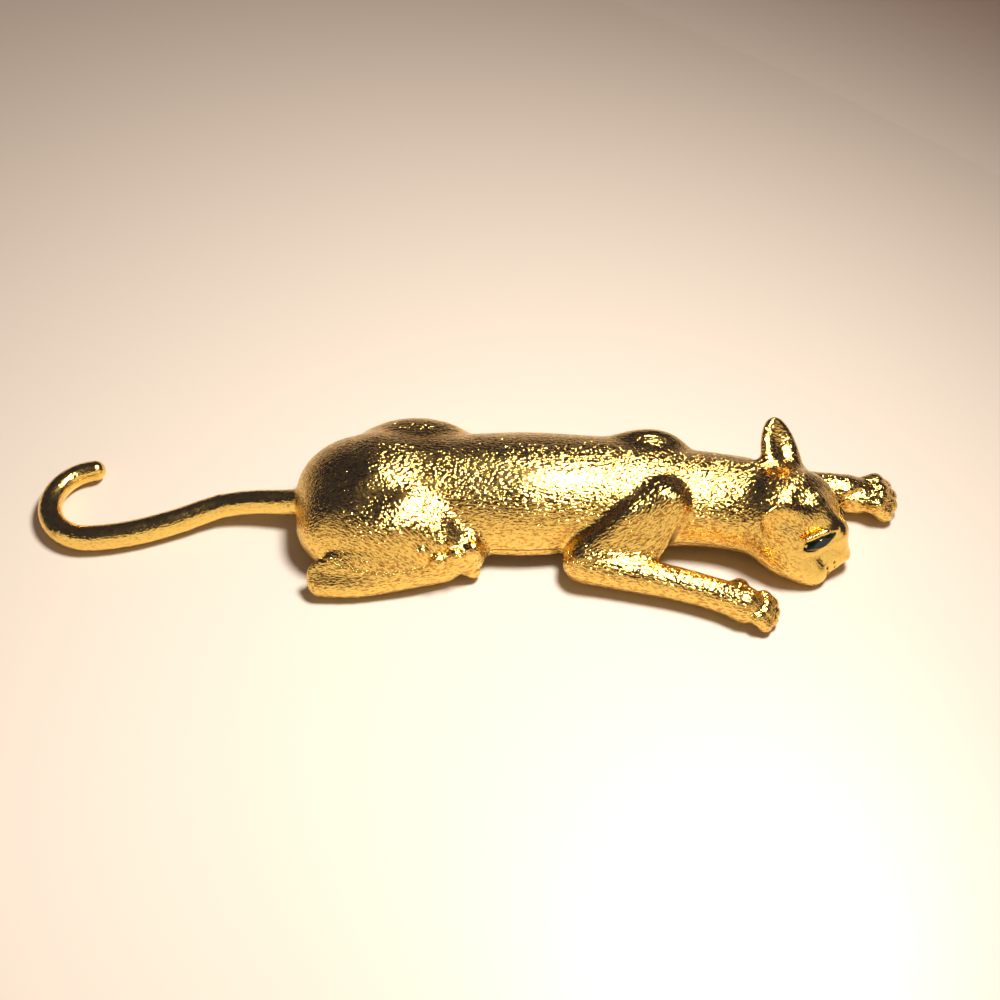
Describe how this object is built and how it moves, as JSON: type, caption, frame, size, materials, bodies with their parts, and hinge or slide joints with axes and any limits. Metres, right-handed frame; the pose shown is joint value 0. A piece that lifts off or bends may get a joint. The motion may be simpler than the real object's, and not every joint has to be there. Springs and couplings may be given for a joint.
{
  "type": "figural animal brooch",
  "caption": "Polished gold-tone cast brooch of a big cat lying stretched out, its fur engraved all over, with dark marquise eye stones and a bar pin on the open back.",
  "frame": {"origin": "centre of the casting's outline, on the table that the brooch lies on", "axes": "+X from the tail to the head, +Z out of the brooch's front, +Y to the side the cat's back faces"},
  "size_m": [0.1126, 0.033, 0.0122],
  "materials": {
    "gold_plate": "polished, engraved",
    "eye_stone": "polished",
    "pin_metal": "satin"
  },
  "bodies": {
    "root": {"casting": "gold_plate", "eye_stone_near": "eye_stone", "eye_stone_far": "eye_stone", "pin_back": "pin_metal"}
  },
  "joints": []
}
